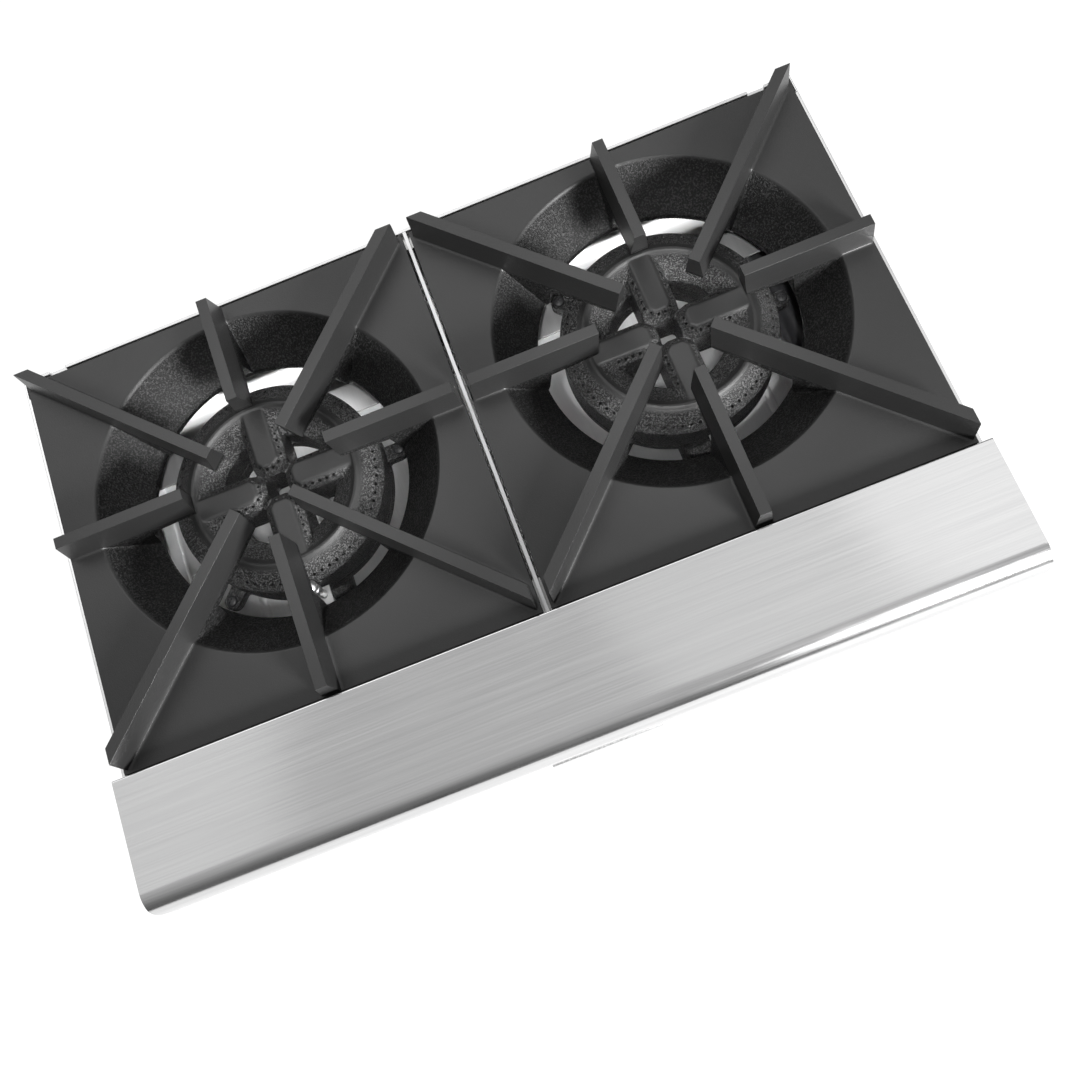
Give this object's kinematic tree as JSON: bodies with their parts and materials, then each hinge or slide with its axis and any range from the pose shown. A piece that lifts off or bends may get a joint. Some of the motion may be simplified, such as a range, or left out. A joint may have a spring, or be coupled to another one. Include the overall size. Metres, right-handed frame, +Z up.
{
  "type": "countertop gas hotplate",
  "caption": "Countertop gas hotplate: low stainless body with a rounded front ledge, cast-iron grates over ring burners, knobs under the ledge, a slide-out drip tray and adjustable legs.",
  "frame": {"origin": "on the counter, under the middle of the bounding box, between the feet", "axes": "+X to the right, +Y to the rear, +Z up; the front ledge faces -Y"},
  "size_m": [0.614, 0.4296, 0.33],
  "materials": {
    "brushed_sheet": "stainless sheet, brushed from side to side",
    "plain_sheet": "plain mill-finish sheet and tube",
    "grate_iron": "matt dark, fine sand-cast grain",
    "burner_iron": "matt dark, coarse sand-cast grain",
    "black_pipe": "black pipe and malleable fitting, satin",
    "brass": "machined, satin",
    "bright_metal": "bright plated",
    "knob_plastic": "black heat-resistant plastic, fine grain",
    "leg_metal": "plated, satin bright"
  },
  "bodies": {
    "body": {"left_side_panel": "brushed_sheet", "right_side_panel": "brushed_sheet", "rear_panel": "brushed_sheet", "control_panel": "brushed_sheet", "front_ledge": "brushed_sheet", "front_baffle": "plain_sheet", "rear_grate_rail": "plain_sheet", "centre_divider": "brushed_sheet", "burner_support_bar": "plain_sheet", "bottom_front_rail": "plain_sheet", "bottom_rear_rail": "plain_sheet", "left_tray_runner": "plain_sheet", "right_tray_runner": "plain_sheet", "left_pilot_tube": "plain_sheet", "right_pilot_tube": "plain_sheet", "left_pilot_tip": "bright_metal", "right_pilot_tip": "bright_metal", "left_pilot_bracket": "plain_sheet", "right_pilot_bracket": "plain_sheet", "manifold_pipe": "black_pipe", "supply_elbow": "black_pipe", "supply_pipe": "black_pipe", "manifold_brackets": "plain_sheet", "left_valve": "brass", "right_valve": "brass", "left_orifice": "brass", "right_orifice": "brass", "knob_bezels": "bright_metal", "left_pilot_valve": "brass", "right_pilot_valve": "brass", "front_left_leg": "leg_metal", "front_right_leg": "leg_metal", "rear_left_leg": "leg_metal", "rear_right_leg": "leg_metal", "panel_screws": "bright_metal", "leg_bolts": "bright_metal"},
    "left_grate": {"left_grate": "grate_iron"},
    "right_grate": {"right_grate": "grate_iron"},
    "left_burner": {"left_burner_head": "burner_iron", "left_burner_base": "burner_iron", "left_mixer_tube": "plain_sheet", "left_burner_screws": "bright_metal"},
    "right_burner": {"right_burner_head": "burner_iron", "right_burner_base": "burner_iron", "right_mixer_tube": "plain_sheet", "right_burner_screws": "bright_metal"},
    "left_shutter": {"left_air_shutter": "brass"},
    "right_shutter": {"right_air_shutter": "brass"},
    "left_control": {"left_knob": "knob_plastic", "left_valve_stem": "bright_metal"},
    "right_control": {"right_knob": "knob_plastic", "right_valve_stem": "bright_metal"},
    "left_pilot_adjuster": {"left_pilot_screw": "brass"},
    "right_pilot_adjuster": {"right_pilot_screw": "brass"},
    "tray": {"drip_tray": "brushed_sheet"},
    "front_left_foot": {"front_left_foot": "leg_metal"},
    "front_right_foot": {"front_right_foot": "leg_metal"},
    "rear_left_foot": {"rear_left_foot": "leg_metal"},
    "rear_right_foot": {"rear_right_foot": "leg_metal"}
  },
  "joints": [
    {"name": "left_grate_lift", "type": "slide", "parent": "body", "child": "left_grate", "axis": [0, 0, 1], "range_m": [0, 0.06]},
    {"name": "left_burner_lift", "type": "slide", "parent": "body", "child": "left_burner", "axis": [0, 0, 1], "range_m": [0, 0.009]},
    {"name": "left_shutter_turn", "type": "hinge", "parent": "left_burner", "child": "left_shutter", "pos_m": [-0.1525, -0.111, 0.229], "axis": [0, -1, 0], "range_deg": [0, 45]},
    {"name": "left_knob_turn", "type": "hinge", "parent": "body", "child": "left_control", "pos_m": [-0.1525, -0.1682, 0.229], "axis": [0, -1, 0], "range_deg": [0, 90]},
    {"name": "left_pilot_adjust", "type": "hinge", "parent": "body", "child": "left_pilot_adjuster", "pos_m": [-0.1045, -0.155, 0.229], "axis": [0, -1, 0], "range_deg": [0, 360]},
    {"name": "right_grate_lift", "type": "slide", "parent": "body", "child": "right_grate", "axis": [0, 0, 1], "range_m": [0, 0.06]},
    {"name": "right_burner_lift", "type": "slide", "parent": "body", "child": "right_burner", "axis": [0, 0, 1], "range_m": [0, 0.009]},
    {"name": "right_shutter_turn", "type": "hinge", "parent": "right_burner", "child": "right_shutter", "pos_m": [0.1525, -0.111, 0.229], "axis": [0, -1, 0], "range_deg": [0, 45]},
    {"name": "right_knob_turn", "type": "hinge", "parent": "body", "child": "right_control", "pos_m": [0.1525, -0.1682, 0.229], "axis": [0, -1, 0], "range_deg": [0, 90]},
    {"name": "right_pilot_adjust", "type": "hinge", "parent": "body", "child": "right_pilot_adjuster", "pos_m": [0.2005, -0.155, 0.229], "axis": [0, -1, 0], "range_deg": [0, 360]},
    {"name": "tray_slide", "type": "slide", "parent": "body", "child": "tray", "axis": [0, -1, 0], "range_m": [0, 0.3]},
    {"name": "front_left_foot_screw", "type": "slide", "parent": "body", "child": "front_left_foot", "axis": [0, 0, -1], "range_m": [0, 0.025]},
    {"name": "front_right_foot_screw", "type": "slide", "parent": "body", "child": "front_right_foot", "axis": [0, 0, -1], "range_m": [0, 0.025]},
    {"name": "rear_left_foot_screw", "type": "slide", "parent": "body", "child": "rear_left_foot", "axis": [0, 0, -1], "range_m": [0, 0.025]},
    {"name": "rear_right_foot_screw", "type": "slide", "parent": "body", "child": "rear_right_foot", "axis": [0, 0, -1], "range_m": [0, 0.025]}
  ]
}
